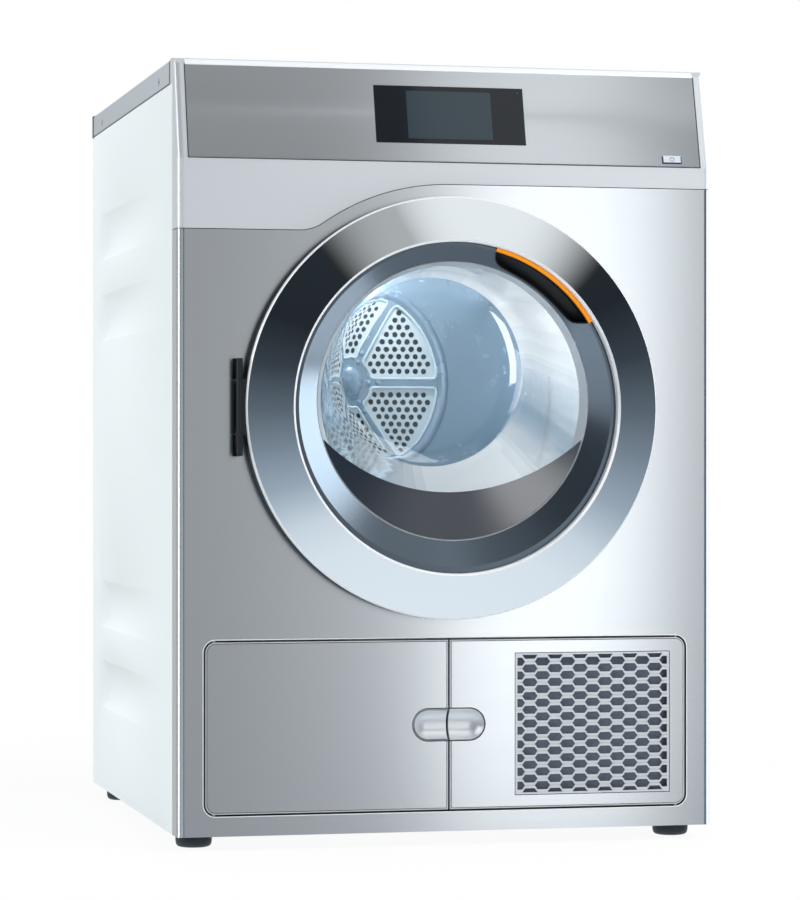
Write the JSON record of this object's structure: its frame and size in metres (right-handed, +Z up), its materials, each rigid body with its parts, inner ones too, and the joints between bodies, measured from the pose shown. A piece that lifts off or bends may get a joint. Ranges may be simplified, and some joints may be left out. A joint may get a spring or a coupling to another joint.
{
  "type": "heat pump dryer",
  "caption": "Free-standing front-loading heat pump tumble dryer with a round glass door, slanted control fascia and lower service flaps.",
  "frame": {"origin": "on the floor under the middle of the outline, door included", "axes": "+X to the right of someone facing the door, +Y to the back, +Z up"},
  "size_m": [0.596, 0.706, 0.85],
  "materials": {
    "front_steel": "brushed",
    "vent_plastic": "satin",
    "fascia_plastic": "satin",
    "lid_finish": "satin",
    "dark_plastic": "matte",
    "side_paint": "gloss",
    "galvanised": "zinc coated",
    "screw_steel": "plain",
    "display_black": "gloss",
    "button_plastic": "satin",
    "ring_chrome": "polished",
    "ring_satin": "satin metallic",
    "black_plastic": "satin",
    "accent_orange": "satin",
    "door_glass": "clear",
    "chin_gloss": "gloss",
    "seal_rubber": "matte",
    "felt": "felt",
    "lamp_lens": "frosted",
    "drum_steel": "satin",
    "lifter_plastic": "satin",
    "motor_paint": "matte",
    "coil_aluminium": "plain"
  },
  "bodies": {
    "casing": {"base_tray": "dark_plastic", "casing_screws": "screw_steel", "compressor": "motor_paint", "condensate_pump": "dark_plastic", "control_fascia": "fascia_plastic", "control_unit": "dark_plastic", "cooling_fan_frame": "dark_plastic", "display": "display_black", "door_lock": "dark_plastic", "drive_belt": "seal_rubber", "drive_motor": "motor_paint", "drum_felt": "felt", "drum_lamp": "lamp_lens", "fascia_plate": "front_steel", "flap_frame": "dark_plastic", "front_bulkhead": "galvanised", "front_panel": "front_steel", "heat_exchangers": "coil_aluminium", "heat_pump_cover": "dark_plastic", "hinge_bracket": "screw_steel", "hinge_pin": "screw_steel", "left_side_panel": "side_paint", "lid_rear_trim": "dark_plastic", "lint_filter": "dark_plastic", "plinth_filter": "dark_plastic", "rear_bearing": "screw_steel", "rear_bulkhead": "galvanised", "rear_connections": "dark_plastic", "rear_cover": "galvanised", "rear_duct": "dark_plastic", "rear_panel": "galvanised", "right_side_panel": "side_paint", "top_lid": "lid_finish"},
    "door": {"door_outer_ring": "ring_chrome", "door_inner_ring": "ring_satin", "door_back_frame": "black_plastic", "handle_pocket": "black_plastic", "handle_accent": "accent_orange", "door_glass": "door_glass", "door_chin": "chin_gloss", "door_seal": "seal_rubber", "door_striker": "screw_steel", "door_hinge_arm": "screw_steel"},
    "drum": {"drum_shell": "drum_steel", "drum_rear_wall": "drum_steel", "drum_lifters": "lifter_plastic", "drum_spindle": "screw_steel"},
    "left_roller": {"left_roller": "seal_rubber"},
    "right_roller": {"right_roller": "seal_rubber"},
    "motor_rotor": {"motor_pulley": "screw_steel"},
    "process_fan": {"process_fan": "dark_plastic"},
    "cooling_fan": {"cooling_fan": "dark_plastic"},
    "power_button": {"power_button": "button_plastic"},
    "left_flap": {"left_flap": "front_steel"},
    "right_flap": {"right_flap": "front_steel", "vent_grille": "vent_plastic"},
    "front_left_foot": {"front_left_foot": "seal_rubber"},
    "front_right_foot": {"front_right_foot": "seal_rubber"},
    "rear_left_foot": {"rear_left_foot": "seal_rubber"},
    "rear_right_foot": {"rear_right_foot": "seal_rubber"}
  },
  "joints": [
    {"name": "door_hinge", "type": "hinge", "parent": "casing", "child": "door", "pos_m": [-0.234, -0.327, 0.4744], "axis": [0, 0, -1], "range_deg": [0, 165]},
    {"name": "drum_spin", "type": "hinge", "parent": "casing", "child": "drum", "pos_m": [0, 0, 0.515], "axis": [0, 1, 0], "continuous": true},
    {"name": "motor_spin", "type": "hinge", "parent": "casing", "child": "motor_rotor", "pos_m": [0.234, 0, 0.262], "axis": [0, 1, 0], "continuous": true},
    {"name": "left_roller_spin", "type": "hinge", "parent": "casing", "child": "left_roller", "pos_m": [-0.16995, 0, 0.27229], "axis": [0, 1, 0], "continuous": true},
    {"name": "right_roller_spin", "type": "hinge", "parent": "casing", "child": "right_roller", "pos_m": [0.16995, 0, 0.27229], "axis": [0, 1, 0], "continuous": true},
    {"name": "process_fan_spin", "type": "hinge", "parent": "casing", "child": "process_fan", "pos_m": [-0.118, 0, 0.118], "axis": [0, 1, 0], "continuous": true},
    {"name": "cooling_fan_spin", "type": "hinge", "parent": "casing", "child": "cooling_fan", "pos_m": [0.163, 0, 0.131], "axis": [0, 1, 0], "continuous": true},
    {"name": "left_flap_hinge", "type": "hinge", "parent": "casing", "child": "left_flap", "pos_m": [-0.2579, -0.3028, 0.1315], "axis": [0, 0, -1], "range_deg": [0, 100]},
    {"name": "right_flap_hinge", "type": "hinge", "parent": "casing", "child": "right_flap", "pos_m": [0.2579, -0.3028, 0.1315], "axis": [0, 0, 1], "range_deg": [0, 100]},
    {"name": "power_button_press", "type": "slide", "parent": "casing", "child": "power_button", "axis": [0, 0.9664, -0.2571], "range_m": [0, 0.0015], "stiffness_N_per_m": 600},
    {"name": "front_left_foot_screw", "type": "slide", "parent": "casing", "child": "front_left_foot", "axis": [0, 0, -1], "range_m": [0, 0.018]},
    {"name": "front_right_foot_screw", "type": "slide", "parent": "casing", "child": "front_right_foot", "axis": [0, 0, -1], "range_m": [0, 0.018]},
    {"name": "rear_left_foot_screw", "type": "slide", "parent": "casing", "child": "rear_left_foot", "axis": [0, 0, -1], "range_m": [0, 0.018]},
    {"name": "rear_right_foot_screw", "type": "slide", "parent": "casing", "child": "rear_right_foot", "axis": [0, 0, -1], "range_m": [0, 0.018]}
  ],
  "couplings": [
    {"joint": "motor_spin", "follows": "drum_spin", "ratio": 20.549},
    {"joint": "left_roller_spin", "follows": "drum_spin", "ratio": -11.333},
    {"joint": "right_roller_spin", "follows": "drum_spin", "ratio": -11.333}
  ]
}
